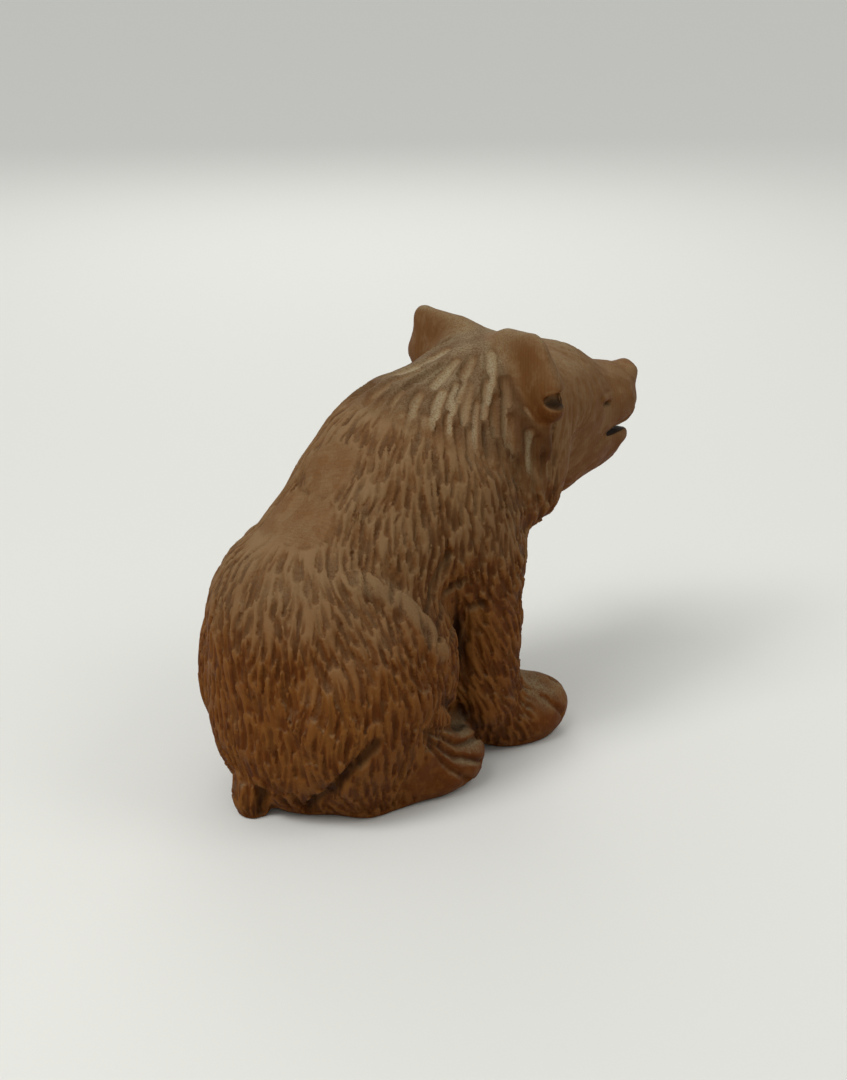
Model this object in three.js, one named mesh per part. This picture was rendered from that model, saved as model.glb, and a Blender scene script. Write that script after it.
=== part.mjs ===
// A bear cub carved from one length of log, sitting on its haunches with its
// forelegs straight and its head turned a little to its right.
// The whole bear is one piece of wood, so it is one solid: rounded masses are
// run together the way the carver left them, and hollows are cut back out.
//
// Millimetres. While it is being shaped a point is [side, ahead, up]: side is
// towards the bear's left, ahead is where its chest faces, up is height over
// the sawn underside, and 0, 0 is the root of the tail. The finished mesh is
// turned to +X left, -Y ahead, +Z up, with its origin under the middle of its box.
import * as THREE from 'three';

// ---- rump and haunches: the lower log, left nearly full round
const RUMP_BOTTOM = [0, 80, 78];
const RUMP_TOP = [0, 78, 162];
const RUMP_BOTTOM_R = 97;
const RUMP_TOP_R = 96;
const HAUNCH_AT = [64, 92, 114];
const HAUNCH_R = [51, 88, 106];
const HAUNCH_LEAN = -14;
const SHIN_KNEE = [72, 120, 60];
const SHIN_ANKLE = [76, 150, 32];
const SHIN_KNEE_R = 34;
const SHIN_ANKLE_R = 30;
const HEEL_AT = [58, 86, 18];
const HEEL_R = 30;
const TOES_AT = [80, 174, 26];
const TOES_R = 27;
const TAIL_AT = [0, 4, 20];
const TAIL_R = [20, 18, 28];

// ---- trunk, chest and neck, each leaning further forward than the one below
const TRUNK_AT = [0, 132, 216];
const TRUNK_R = [90, 80, 124];
const TRUNK_LEAN = -24;
const WITHERS_AT = [0, 194, 278];
const WITHERS_R = [82, 77, 76];
const WITHERS_LEAN = -20;
const CHEST_AT = [0, 206, 130];
const CHEST_R = [62, 50, 172];
const BELLY_BACK = [0, 150, 40];
const BELLY_FRONT = [0, 210, 36];
const BELLY_BACK_R = 62;
const BELLY_FRONT_R = 52;
const NECK_BACK = [0, 215, 280];
const NECK_FRONT = [-4, 262, 304];
const NECK_BACK_R = 82;
const NECK_FRONT_R = 75;

// ---- forelegs: straight posts with blunt paws turned slightly out
const SHOULDER_AT = [55, 208, 236];
const SHOULDER_R = [44, 54, 84];
const SHOULDER_LEAN = 8;
const ELBOW_AT = [54, 223, 200];
const WRIST_AT = [50, 234, 60];
const ELBOW_R = 42;
const WRIST_R = 38;
const PAW_AT = [52, 278, 28];
const PAW_R = [36, 57, 37];
const PAW_TURN = 10;
const PAW_DROOP = -6;

// ---- head, in its own frame: 0, 0, 0 is between the ears
const HEAD_AT = [-4, 280, 312];
const HEAD_TURN = 8;
const HEAD_TILT = 4;
const SKULL_AT = [0, 10, 0];
const SKULL_R = [82, 72, 65];
const RUFF_AT = [48, 4, -47];
const RUFF_R = [38, 40, 54];
const BROW_AT = [0, 60, 12];
const BROW_R = [60, 58, 46];
const MUZZLE_BACK = [0, 84, -10];
const MUZZLE_FRONT = [0, 136, -8];
const MUZZLE_BACK_R = 47;
const MUZZLE_FRONT_R = 34;
const JAW_BACK = [0, 64, -48];
const JAW_FRONT = [0, 132, -50];
const JAW_BACK_R = 42;
const JAW_FRONT_R = 22;
const NOSE_AT = [0, 162, 12];
const NOSE_R = [19, 13, 13];
const LIP_AT = [0, 140, -46];
const LIP_R = [22, 18, 9];
const MOUTH_AT = [0, 150, -34];
const MOUTH_R = [46, 48, 4];
const MOUTH_SLOPE = 4;
const GAPE_AT = [0, 170, -30];
const GAPE_R = [50, 26, 9];
const GAPE_SLOPE = 15;
const EAR_AT = [0, 15, 14];
const EAR_INNER = [50, 0, 20];
const EAR_CROWN = [41, 0, 41.5];
const EAR_TIP = [86.5, 0, 57];
const EAR_LOBE = [86.5, 0, 23.5];
const EAR_INNER_R = 38;
const EAR_CROWN_R = 30;
const EAR_TIP_R = 16;
const EAR_LOBE_R = 30;
const EAR_LEAN = 9;
const EAR_SWEEP = 7;
const EAR_THINNESS = 0.47;
const EAR_BOWL_AT = [80, 15, 32];
const EAR_BOWL_R = [18, 11, 26];
const EAR_BOWL_SPLAY = 20;
const EAR_PIT_AT = [110, 3, 18];
const EAR_PIT_R = [13, 15, 8];

// ---- how far neighbouring masses run into each other
const BLEND_BODY = 28;
const BLEND_LIMB = 20;
const BLEND_FACE = 16;
const BLEND_EAR = 4;
const BLEND_CREASE = 7;
const BLEND_EDGE = 2;

// ---- meshing
const CELL = 5;
const EDGE_MARGIN = 0.2;
const REACH_LOW = [-135, -50, -14];
const REACH_HIGH = [135, 480, 430];
const TRIANGLES = 9600;
const SEAT_TOLERANCE = 0.6;

// ---- the oiled and weathered timber
const WOOD_COLOUR = 0x6b4426;
const WOOD_ROUGHNESS = 0.78;

// Turned axes: yaw carries ahead to the bear's right, pitch lifts it, roll lifts the right side.
function turned(yaw = 0, pitch = 0, roll = 0) {
  const euler = new THREE.Euler(
    THREE.MathUtils.degToRad(pitch),
    THREE.MathUtils.degToRad(roll),
    THREE.MathUtils.degToRad(yaw),
    'ZXY',
  );
  return new THREE.Matrix3().setFromMatrix4(new THREE.Matrix4().makeRotationFromEuler(euler));
}

function mirrored(point, side) {
  return [point[0] * side, point[1], point[2]];
}

// Distance functions: each takes a point and gives how far outside the shape it is.
function ellipsoid(centre, radii, axes = new THREE.Matrix3()) {
  const back = axes.clone().transpose();
  const q = new THREE.Vector3();
  return (x, y, z) => {
    q.set(x - centre[0], y - centre[1], z - centre[2]).applyMatrix3(back);
    const k0 = Math.hypot(q.x / radii[0], q.y / radii[1], q.z / radii[2]);
    const k1 = Math.hypot(q.x / radii[0] ** 2, q.y / radii[1] ** 2, q.z / radii[2] ** 2);
    return (k0 * (k0 - 1)) / Math.max(k1, 1e-9);
  };
}

// A ball of one radius swept in a straight line to a ball of another.
function sweptBall(start, end, startRadius, endRadius) {
  const axis = end.map((value, i) => value - start[i]);
  const length2 = axis[0] ** 2 + axis[1] ** 2 + axis[2] ** 2;
  const taper = startRadius - endRadius;
  const slant2 = length2 - taper * taper;
  return (x, y, z) => {
    const p = [x - start[0], y - start[1], z - start[2]];
    const along = p[0] * axis[0] + p[1] * axis[1] + p[2] * axis[2];
    const beyond = along - length2;
    let across2 = 0;
    for (let i = 0; i < 3; i += 1) {
      across2 += (p[i] * length2 - axis[i] * along) ** 2;
    }
    const along2 = along * along * length2;
    const beyond2 = beyond * beyond * length2;
    const k = Math.sign(taper) * taper * taper * across2;
    if (Math.sign(beyond) * slant2 * beyond2 > k) {
      return Math.sqrt(across2 + beyond2) / length2 - endRadius;
    }
    if (Math.sign(along) * slant2 * along2 < k) {
      return Math.sqrt(across2 + along2) / length2 - startRadius;
    }
    return (Math.sqrt(across2 * slant2 / length2) + along * taper) / length2 - startRadius;
  };
}

function smoothLow(a, b, blend) {
  const overlap = Math.max(blend - Math.abs(a - b), 0) / blend;
  return Math.min(a, b) - overlap * overlap * blend * 0.25;
}

function smoothHigh(a, b, blend) {
  return -smoothLow(-a, -b, blend);
}

// The head's own axes and a way to place things in them.
const HEAD_AXES = turned(HEAD_TURN, 0, HEAD_TILT);

function onHead(point) {
  const p = new THREE.Vector3(...point).applyMatrix3(HEAD_AXES);
  return [p.x + HEAD_AT[0], p.y + HEAD_AT[1], p.z + HEAD_AT[2]];
}

// One ear: a broad fin, flattened fore and aft and leaning back, that climbs
// from the crown to a peak and drops down the side of the head to a lobe. A
// bowl is cut in its front and a notch in its outer edge.
function ear(side) {
  const axes = new THREE.Matrix3().multiplyMatrices(HEAD_AXES, turned(-side * EAR_SWEEP, EAR_LEAN));
  const back = axes.clone().transpose();
  const centre = onHead(EAR_AT);
  const m = (point) => mirrored(point, side);
  const inner = sweptBall(m(EAR_INNER), m(EAR_TIP), EAR_INNER_R, EAR_TIP_R);
  const outer = sweptBall(m(EAR_LOBE), m(EAR_TIP), EAR_LOBE_R, EAR_TIP_R);
  const upper = sweptBall(m(EAR_CROWN), m(EAR_TIP), EAR_CROWN_R, EAR_TIP_R);
  const bowl = ellipsoid(m(EAR_BOWL_AT), EAR_BOWL_R, turned(0, 0, side * EAR_BOWL_SPLAY));
  const pit = ellipsoid(m(EAR_PIT_AT), EAR_PIT_R);
  const q = new THREE.Vector3();
  const local = (shape, thinness) => (x, y, z) => {
    q.set(x - centre[0], y - centre[1], z - centre[2]).applyMatrix3(back);
    return shape(q.x, q.y / thinness, q.z) * thinness;
  };
  const fin = (x, y, z) => {
    const low = smoothLow(inner(x, y, z), outer(x, y, z), BLEND_EAR);
    return smoothLow(low, upper(x, y, z), BLEND_EAR);
  };
  return { fin: local(fin, EAR_THINNESS), hollows: [local(bowl, 1), local(pit, 1)] };
}

function bearShapes() {
  const both = [-1, 1];
  const add = [];
  const cut = [];
  const join = (blend, shape) => add.push({ blend, shape });
  join(BLEND_BODY, sweptBall(RUMP_BOTTOM, RUMP_TOP, RUMP_BOTTOM_R, RUMP_TOP_R));
  join(BLEND_BODY, ellipsoid(TRUNK_AT, TRUNK_R, turned(0, TRUNK_LEAN)));
  join(BLEND_BODY + 8, ellipsoid(WITHERS_AT, WITHERS_R, turned(0, WITHERS_LEAN)));
  join(BLEND_BODY, ellipsoid(CHEST_AT, CHEST_R));
  join(BLEND_BODY, sweptBall(BELLY_BACK, BELLY_FRONT, BELLY_BACK_R, BELLY_FRONT_R));
  for (const side of both) {
    const m = (point) => mirrored(point, side);
    join(BLEND_BODY, ellipsoid(m(SHOULDER_AT), SHOULDER_R, turned(0, SHOULDER_LEAN)));
    join(BLEND_LIMB, sweptBall(m(ELBOW_AT), m(WRIST_AT), ELBOW_R, WRIST_R));
    join(BLEND_FACE, ellipsoid(m(PAW_AT), PAW_R, turned(-side * PAW_TURN, PAW_DROOP)));
    join(BLEND_CREASE, ellipsoid(m(HAUNCH_AT), HAUNCH_R, turned(0, HAUNCH_LEAN)));
    join(BLEND_FACE, sweptBall(m(SHIN_KNEE), m(SHIN_ANKLE), SHIN_KNEE_R, SHIN_ANKLE_R));
    join(BLEND_FACE, sweptBall(m(HEEL_AT), m(TOES_AT), HEEL_R, TOES_R));
  }
  join(BLEND_CREASE, ellipsoid(TAIL_AT, TAIL_R));
  join(BLEND_BODY, sweptBall(NECK_BACK, NECK_FRONT, NECK_BACK_R, NECK_FRONT_R));
  join(BLEND_BODY, ellipsoid(onHead(SKULL_AT), SKULL_R, HEAD_AXES));
  for (const side of both) {
    join(BLEND_LIMB, ellipsoid(onHead(mirrored(RUFF_AT, side)), RUFF_R, HEAD_AXES));
  }
  join(BLEND_LIMB, ellipsoid(onHead(BROW_AT), BROW_R, HEAD_AXES));
  join(BLEND_FACE, sweptBall(onHead(MUZZLE_BACK), onHead(MUZZLE_FRONT), MUZZLE_BACK_R, MUZZLE_FRONT_R));
  join(BLEND_LIMB, sweptBall(onHead(JAW_BACK), onHead(JAW_FRONT), JAW_BACK_R, JAW_FRONT_R));
  join(BLEND_CREASE, ellipsoid(onHead(NOSE_AT), NOSE_R, HEAD_AXES));
  join(BLEND_CREASE, ellipsoid(onHead(LIP_AT), LIP_R, HEAD_AXES));
  const sloped = (slope) => new THREE.Matrix3().multiplyMatrices(HEAD_AXES, turned(0, slope));
  cut.push(ellipsoid(onHead(MOUTH_AT), MOUTH_R, sloped(MOUTH_SLOPE)));
  cut.push(ellipsoid(onHead(GAPE_AT), GAPE_R, sloped(GAPE_SLOPE)));
  for (const side of both) {
    const { fin, hollows } = ear(side);
    join(BLEND_FACE, fin);
    cut.push(...hollows);
  }
  return { add, cut };
}

const { add, cut } = bearShapes();

function bear(x, y, z) {
  let distance = Infinity;
  for (const { blend, shape } of add) {
    const d = shape(x, y, z);
    distance = distance === Infinity ? d : smoothLow(distance, d, blend);
  }
  for (const shape of cut) {
    distance = smoothHigh(distance, -shape(x, y, z), BLEND_EDGE);
  }
  return smoothHigh(distance, -z, BLEND_EDGE);
}

// Surface of the shape through a grid of cubes, each split into the six
// tetrahedra that run corner to corner: always closed, never pinched.
function skin(shape) {
  const [nx, ny, nz] = REACH_LOW.map((low, a) => Math.ceil((REACH_HIGH[a] - low) / CELL) + 1);
  const step = [ny * nz, nz, 1];
  const placeOf = (key) => {
    const k = key % nz;
    const j = ((key - k) / nz) % ny;
    const i = (key - k - j * nz) / step[0];
    return new THREE.Vector3(
      REACH_LOW[0] + i * CELL,
      REACH_LOW[1] + j * CELL,
      REACH_LOW[2] + k * CELL,
    );
  };
  const value = new Float32Array(nx * ny * nz);
  for (let key = 0; key < value.length; key += 1) {
    const { x, y, z } = placeOf(key);
    value[key] = shape(x, y, z);
  }
  const points = [];
  const triangles = [];
  const vertexOf = new Map();
  const crossing = (a, b) => {
    const name = Math.min(a, b) * value.length + Math.max(a, b);
    if (!vertexOf.has(name)) {
      const t = THREE.MathUtils.clamp(value[a] / (value[a] - value[b]), EDGE_MARGIN, 1 - EDGE_MARGIN);
      vertexOf.set(name, points.length);
      points.push(placeOf(a).lerp(placeOf(b), t));
    }
    return vertexOf.get(name);
  };
  const face = (a, b, c, outward) => {
    const ab = points[b].clone().sub(points[a]);
    const ac = points[c].clone().sub(points[a]);
    triangles.push(ab.cross(ac).dot(outward) > 0 ? [a, b, c] : [a, c, b]);
  };
  const orders = [[0, 1, 2], [0, 2, 1], [1, 0, 2], [1, 2, 0], [2, 0, 1], [2, 1, 0]];
  for (let key = 0; key + step[0] + step[1] + 1 < value.length; key += 1) {
    for (const [first, second] of orders) {
      const near = key + step[first];
      const corners = [key, near, near + step[second], key + step[0] + step[1] + step[2]];
      const inner = corners.filter((c) => value[c] < 0);
      const outer = corners.filter((c) => value[c] >= 0);
      if (inner.length === 0 || outer.length === 0) {
        continue;
      }
      const outward = placeOf(outer[0]).sub(placeOf(inner[0]));
      const [a, b, c, d] = inner.length === 2
        ? [[0, 0], [0, 1], [1, 1], [1, 0]].map(([i, o]) => crossing(inner[i], outer[o]))
        : inner.flatMap((i) => outer.map((o) => crossing(i, o)));
      face(a, b, c, outward);
      if (d !== undefined) {
        face(a, c, d, outward);
      }
    }
  }
  return { points, triangles };
}

// Move a point onto the surface along the steepest way.
function settle(point) {
  const p = point.slice();
  const h = 0.5;
  for (let round = 0; round < 3; round += 1) {
    const d = bear(...p);
    const slope = [0, 1, 2].map((a) => {
      const q = p.slice();
      q[a] += h;
      return (bear(...q) - d) / h;
    });
    const steep = Math.max(slope[0] ** 2 + slope[1] ** 2 + slope[2] ** 2, 0.05);
    const stride = THREE.MathUtils.clamp(d / steep, -CELL / 3, CELL / 3);
    for (let a = 0; a < 3; a += 1) {
      p[a] -= stride * slope[a];
    }
  }
  if (Math.abs(p[2]) < SEAT_TOLERANCE) {
    p[2] = 0;
  }
  return p;
}

// Thins a closed skin by closing up its flattest edges first, so facets stay
// small in tight carving and grow large on the broad masses.
function thin({ points, triangles }, target) {
  const at = points;
  const faces = triangles.map((t) => t.slice());
  const facesOf = at.map(() => new Set());
  const quadric = at.map(() => new Float64Array(10));
  const version = new Int32Array(at.length);
  const normal = new THREE.Vector3();
  const triangle = new THREE.Triangle();
  faces.forEach((face, id) => {
    triangle.set(...face.map((v) => at[v]));
    triangle.getNormal(normal);
    const weight = triangle.getArea();
    const offset = -normal.dot(triangle.a);
    const n = [normal.x, normal.y, normal.z, offset];
    for (const v of face) {
      facesOf[v].add(id);
      let slot = 0;
      for (let i = 0; i < 4; i += 1) {
        for (let j = i; j < 4; j += 1) {
          quadric[v][slot] += weight * n[i] * n[j];
          slot += 1;
        }
      }
    }
  });
  const error = (q, p) => {
    const v = [p.x, p.y, p.z, 1];
    let slot = 0;
    let sum = 0;
    for (let i = 0; i < 4; i += 1) {
      for (let j = i; j < 4; j += 1) {
        sum += q[slot] * v[i] * v[j] * (i === j ? 1 : 2);
        slot += 1;
      }
    }
    return sum;
  };
  const neighbours = (v) => {
    const found = new Set();
    for (const id of facesOf[v]) {
      faces[id].forEach((other) => found.add(other));
    }
    found.delete(v);
    return found;
  };
  const heap = [];
  const sink = (start) => {
    let i = start;
    for (;;) {
      let least = i;
      for (const child of [2 * i + 1, 2 * i + 2]) {
        if (child < heap.length && heap[child].cost < heap[least].cost) {
          least = child;
        }
      }
      if (least === i) {
        return;
      }
      [heap[i], heap[least]] = [heap[least], heap[i]];
      i = least;
    }
  };
  const push = (entry) => {
    let i = heap.push(entry) - 1;
    while (i > 0 && heap[(i - 1) >> 1].cost > heap[i].cost) {
      const parent = (i - 1) >> 1;
      [heap[i], heap[parent]] = [heap[parent], heap[i]];
      i = parent;
    }
  };
  const pop = () => {
    const top = heap[0];
    const last = heap.pop();
    if (heap.length > 0) {
      heap[0] = last;
      sink(0);
    }
    return top;
  };
  const offer = (u, v) => {
    const sum = quadric[u].map((value, i) => value + quadric[v][i]);
    const middle = at[u].clone().add(at[v]).multiplyScalar(0.5);
    const choices = [at[u], at[v], middle].map((place) => ({ place, cost: error(sum, place) }));
    const best = choices.reduce((a, b) => (b.cost < a.cost ? b : a));
    const length = at[u].distanceToSquared(at[v]);
    push({ u, v, place: best.place.clone(), cost: best.cost + 1e-3 * length, stamp: version[u] + version[v] });
  };
  const keepsFacing = (v, gone, place) => {
    for (const id of facesOf[v]) {
      if (faces[id].includes(gone)) {
        continue;
      }
      triangle.set(...faces[id].map((w) => at[w]));
      const before = triangle.getNormal(new THREE.Vector3());
      triangle.set(...faces[id].map((w) => (w === v ? place : at[w])));
      const after = triangle.getNormal(new THREE.Vector3());
      if (before.dot(after) < 0.5 || triangle.getArea() < 0.05) {
        return false;
      }
    }
    return true;
  };
  at.forEach((_, u) => neighbours(u).forEach((v) => u < v && offer(u, v)));
  let left = faces.length;
  while (left > target && heap.length > 0) {
    const { u, v, place, stamp } = pop();
    if (facesOf[u].size === 0 || facesOf[v].size === 0 || stamp !== version[u] + version[v]) {
      continue;
    }
    const around = neighbours(u);
    if (!around.has(v)) {
      continue;
    }
    const shared = [...neighbours(v)].filter((w) => around.has(w));
    if (shared.length !== 2 || !keepsFacing(u, v, place) || !keepsFacing(v, u, place)) {
      continue;
    }
    at[u].copy(place);
    quadric[v].forEach((value, i) => {
      quadric[u][i] += value;
    });
    for (const id of [...facesOf[v]]) {
      if (faces[id].includes(u)) {
        faces[id].forEach((w) => facesOf[w].delete(id));
        faces[id] = null;
        left -= 1;
      } else {
        faces[id] = faces[id].map((w) => (w === v ? u : w));
        facesOf[u].add(id);
        facesOf[v].delete(id);
      }
    }
    const touched = neighbours(u);
    version[u] += 1;
    touched.forEach((w) => offer(u, w));
  }
  return { at, faces: faces.filter(Boolean) };
}

// Shaping frame to finished frame, with the origin under the middle of the box.
function geometryOf({ at, faces }) {
  const order = [...new Set(faces.flat())];
  const index = new Map(order.map((v, i) => [v, i]));
  const settled = order.map((v) => settle([at[v].x, at[v].y, at[v].z]));
  const geometry = new THREE.BufferGeometry();
  geometry.setAttribute(
    'position',
    new THREE.Float32BufferAttribute(settled.flatMap(([side, ahead, up]) => [side, -ahead, up]), 3),
  );
  geometry.setIndex(faces.flatMap((face) => face.map((v) => index.get(v)).reverse()));
  geometry.computeBoundingBox();
  const { min, max } = geometry.boundingBox;
  geometry.translate(-(min.x + max.x) / 2, -(min.y + max.y) / 2, -min.z);
  geometry.computeVertexNormals();
  return geometry;
}

const wood = new THREE.MeshStandardMaterial({
  color: WOOD_COLOUR,
  roughness: WOOD_ROUGHNESS,
  metalness: 0,
});
wood.name = 'carved_wood';

const cub = new THREE.Mesh(geometryOf(thin(skin(bear), TRIANGLES)), wood);
cub.name = 'bear';

const part = new THREE.Group();
part.name = 'carved_bear_cub';
part.add(cub);

export default part;
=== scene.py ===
# %% [markdown]
# # A bear cub carved from a log
# The bear is one length of softwood, roughed out with a chainsaw and finished
# with gouges. Its fur is nothing but overlapping gouge cuts, so the lesson
# builds it in the carver's order: first the big rounded masses, then the
# hollows cut back out, then the rows of cuts, and last the stain and the dust.
# The CAD frame comes first, because it fixes where the bear stands.

# %% Load the frame
import math
import bpy
import numpy as np
from mathutils import Matrix, Vector


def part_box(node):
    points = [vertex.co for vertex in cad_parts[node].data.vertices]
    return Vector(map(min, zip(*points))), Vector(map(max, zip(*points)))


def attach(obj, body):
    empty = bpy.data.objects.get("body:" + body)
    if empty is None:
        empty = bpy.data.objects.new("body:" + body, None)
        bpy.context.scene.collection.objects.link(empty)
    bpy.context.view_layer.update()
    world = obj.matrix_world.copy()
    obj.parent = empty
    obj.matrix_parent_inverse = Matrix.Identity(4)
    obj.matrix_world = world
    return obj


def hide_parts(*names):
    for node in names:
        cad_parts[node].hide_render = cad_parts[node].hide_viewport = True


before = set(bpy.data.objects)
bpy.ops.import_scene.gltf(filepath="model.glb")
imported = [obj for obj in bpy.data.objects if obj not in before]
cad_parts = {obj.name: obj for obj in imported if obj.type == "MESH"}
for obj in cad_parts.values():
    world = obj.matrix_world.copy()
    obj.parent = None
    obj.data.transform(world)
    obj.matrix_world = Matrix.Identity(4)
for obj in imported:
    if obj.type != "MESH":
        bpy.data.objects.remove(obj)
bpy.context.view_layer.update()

low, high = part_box("bear")
MM = 0.001
print("CAD box, mm:", [round((b - a) / MM) for a, b in zip(low, high)])

# %% [markdown]
# ## Camera, floor and light
# A carving is read by its shadows. One soft lamp, high behind the bear, makes
# every cut throw a small shadow. Two wider ones, ahead of it on either side,
# keep the low parts readable, and a weak sun, the pale floor and the world fill
# the rest.

# %% Camera
CAMERA_AZIMUTH = 228.0
CAMERA_ELEVATION = 22.0
CAMERA_DISTANCE = 1.656
CAMERA_LENS = 60.0
CAMERA_TARGET = Vector((0.008, 0.0035, 0.200))


def direction(azimuth, elevation):
    """Unit vector from the object towards a viewer at that azimuth and elevation."""
    a, e = math.radians(azimuth), math.radians(elevation)
    return Vector((math.sin(a) * math.cos(e), -math.cos(a) * math.cos(e), math.sin(e)))


camera = bpy.data.objects.new("camera", bpy.data.cameras.new("camera"))
bpy.context.scene.collection.objects.link(camera)
bpy.context.scene.camera = camera
camera.data.lens = CAMERA_LENS
camera.data.sensor_width = 36.0
camera.data.clip_start = 0.01
view = direction(CAMERA_AZIMUTH, CAMERA_ELEVATION)
camera.location = CAMERA_TARGET + view * CAMERA_DISTANCE
camera.rotation_euler = view.to_track_quat("Z", "Y").to_euler()
print("camera at", [round(v, 3) for v in camera.location])

# %% Floor, lamps and world
FLOOR_SIZE = 90.0
FLOOR_COLOUR = (0.62, 0.63, 0.61)
WORLD_COLOUR = (0.88, 0.87, 0.84, 1)
WORLD_STRENGTH = 0.62
SUN_POWER = 1.0
SUN_WIDTH = 25
LAMPS = (
    # name, degrees round from the camera, elevation, distance, size, watts, colour
    ("key", -50, 50, 2.2, 0.6, 16, (1.0, 0.97, 0.92)),
    ("front", -285, 48, 2.6, 1.2, 12, (1.0, 0.98, 0.95)),
    ("fill", -175, 30, 2.8, 1.6, 16, (1.0, 0.98, 0.95)),
)


def plain_material(name, colour, roughness):
    material = bpy.data.materials.new(name)
    material.use_nodes = True
    shader = material.node_tree.nodes["Principled BSDF"]
    shader.inputs["Base Color"].default_value = (*colour, 1)
    shader.inputs["Roughness"].default_value = roughness
    return material


def area_lamp(name, azimuth, elevation, distance, size, power, colour):
    lamp = bpy.data.objects.new(name, bpy.data.lights.new(name, "AREA"))
    lamp.data.size = size
    lamp.data.energy = power
    lamp.data.color = colour
    towards = direction(azimuth, elevation)
    lamp.location = CAMERA_TARGET + towards * distance
    lamp.rotation_euler = towards.to_track_quat("Z", "Y").to_euler()
    bpy.context.scene.collection.objects.link(lamp)


bpy.ops.mesh.primitive_plane_add(size=FLOOR_SIZE)
floor = bpy.context.object
floor.name = "floor"
floor.data.materials.append(plain_material("pale_floor", FLOOR_COLOUR, 0.9))
for name, around, *rest in LAMPS:
    area_lamp(name, CAMERA_AZIMUTH + around, *rest)
sun = bpy.data.objects.new("sun", bpy.data.lights.new("sun", "SUN"))
sun.data.energy = SUN_POWER
sun.data.angle = math.radians(SUN_WIDTH)
sun.rotation_euler = direction(CAMERA_AZIMUTH - 40, 58).to_track_quat("Z", "Y").to_euler()
bpy.context.scene.collection.objects.link(sun)
world = bpy.data.worlds.new("studio")
world.use_nodes = True
world.node_tree.nodes["Background"].inputs["Color"].default_value = WORLD_COLOUR
world.node_tree.nodes["Background"].inputs["Strength"].default_value = WORLD_STRENGTH
bpy.context.scene.world = world
bpy.context.scene.view_settings.view_transform = "Standard"

# %% [markdown]
# ## Distance shapes
# A carver sees a block as a few eggs and tapered posts that run into each
# other. The same idea works in code: each mass is a function that says how far
# a point is outside it, two masses are joined by a soft minimum, and a hollow
# is cut by a soft maximum. The meshes of such shapes have no seams at all,
# which suits a thing made from one piece of wood.
#
# Points here are millimetres of (side, ahead, up): side is to the bear's left,
# ahead is where its chest faces, and 0, 0 is the root of its tail.

# %% Shape functions
def turned(yaw=0, pitch=0, roll=0):
    """Own side, ahead and up axes, as columns: yaw to the bear's right, pitch up, roll lifts its right."""
    turn = Matrix.Rotation(math.radians(yaw), 3, "Z")
    turn = turn @ Matrix.Rotation(math.radians(pitch), 3, "X")
    return np.array(turn @ Matrix.Rotation(math.radians(roll), 3, "Y"), np.float32)


def egg(p, at, radii, axes=None):
    q = p - np.asarray(at, np.float32)
    if axes is not None:
        q = q @ axes
    q = q / np.asarray(radii, np.float32)
    near = np.sqrt((q * q).sum(1))
    q = q / np.asarray(radii, np.float32)
    return near * (near - 1) / np.maximum(np.sqrt((q * q).sum(1)), 1e-9)


def post(p, start, end, start_radius, end_radius):
    """A ball swept in a straight line to a ball of another size."""
    start, end = np.asarray(start, np.float32), np.asarray(end, np.float32)
    axis = end - start
    length = float(np.sqrt(axis @ axis))
    taper = (start_radius - end_radius) / length
    q = p - start
    along = q @ (axis / length)
    across = np.sqrt(np.maximum((q * q).sum(1) - along * along, 0))
    on_side = along - across * taper / math.sqrt(max(1 - taper * taper, 1e-6))
    t = np.clip(on_side / length, 0, 1)
    return np.hypot(across, along - t * length) - (start_radius + t * (end_radius - start_radius))


def join(a, b, blend):
    overlap = np.maximum(blend - np.abs(a - b), 0) / blend
    return np.minimum(a, b) - overlap * overlap * blend / 4


def cut_away(a, b, blend):
    return -join(-a, b, blend)


def mirrored(point, side):
    return np.array((point[0] * side, point[1], point[2]), np.float32)


SIDES = (-1, 1)
print("left and right:", SIDES)

# %% [markdown]
# ## Body masses
# The rump keeps nearly the whole round of the log. Trunk, withers and neck
# each lean further forward than the one below, and the forelegs are straight
# posts that end in blunt paws. The haunch joins with almost no blend, so its
# edge stays a crease. The sizes repeat the CAD part's, but for the nose, which
# is a millimetre lower and slimmer here.

# %% Body
SOFT_BLEND = 28
LIMB_BLEND = 20
FACE_BLEND = 16
CREASE_BLEND = 7
EDGE_BLEND = 2


def torso(p):
    d = post(p, (0, 80, 78), (0, 78, 162), 97, 96)  # rump
    d = join(d, egg(p, (0, 132, 216), (90, 80, 124), turned(0, -24)), SOFT_BLEND)  # trunk
    d = join(d, egg(p, (0, 194, 278), (82, 77, 76), turned(0, -20)), SOFT_BLEND + 8)  # withers
    d = join(d, egg(p, (0, 206, 130), (62, 50, 172)), SOFT_BLEND)  # chest
    return join(d, post(p, (0, 150, 40), (0, 210, 36), 62, 52), SOFT_BLEND)  # belly


def legs(p, d, side):
    def at(*point):
        return mirrored(point, side)

    d = join(d, egg(p, at(55, 208, 236), (44, 54, 84), turned(0, 8)), SOFT_BLEND)  # shoulder
    d = join(d, post(p, at(54, 223, 200), at(50, 234, 60), 42, 38), LIMB_BLEND)  # foreleg
    d = join(d, egg(p, at(52, 278, 28), (36, 57, 37), turned(-side * 10, -6)), FACE_BLEND)  # paw
    d = join(d, egg(p, at(64, 92, 114), (51, 88, 106), turned(0, -14)), CREASE_BLEND)  # haunch
    d = join(d, post(p, at(72, 120, 60), at(76, 150, 32), 34, 30), FACE_BLEND)  # shin
    return join(d, post(p, at(58, 86, 18), at(80, 174, 26), 30, 27), FACE_BLEND)  # foot


# %% [markdown]
# ## Head
# The head has axes of its own, turned and tilted on the neck, so everything on
# the face is placed from one point between the ears. Each ear is a broad fin
# that climbs from the crown to a peak and drops down the side of the head.

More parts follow.
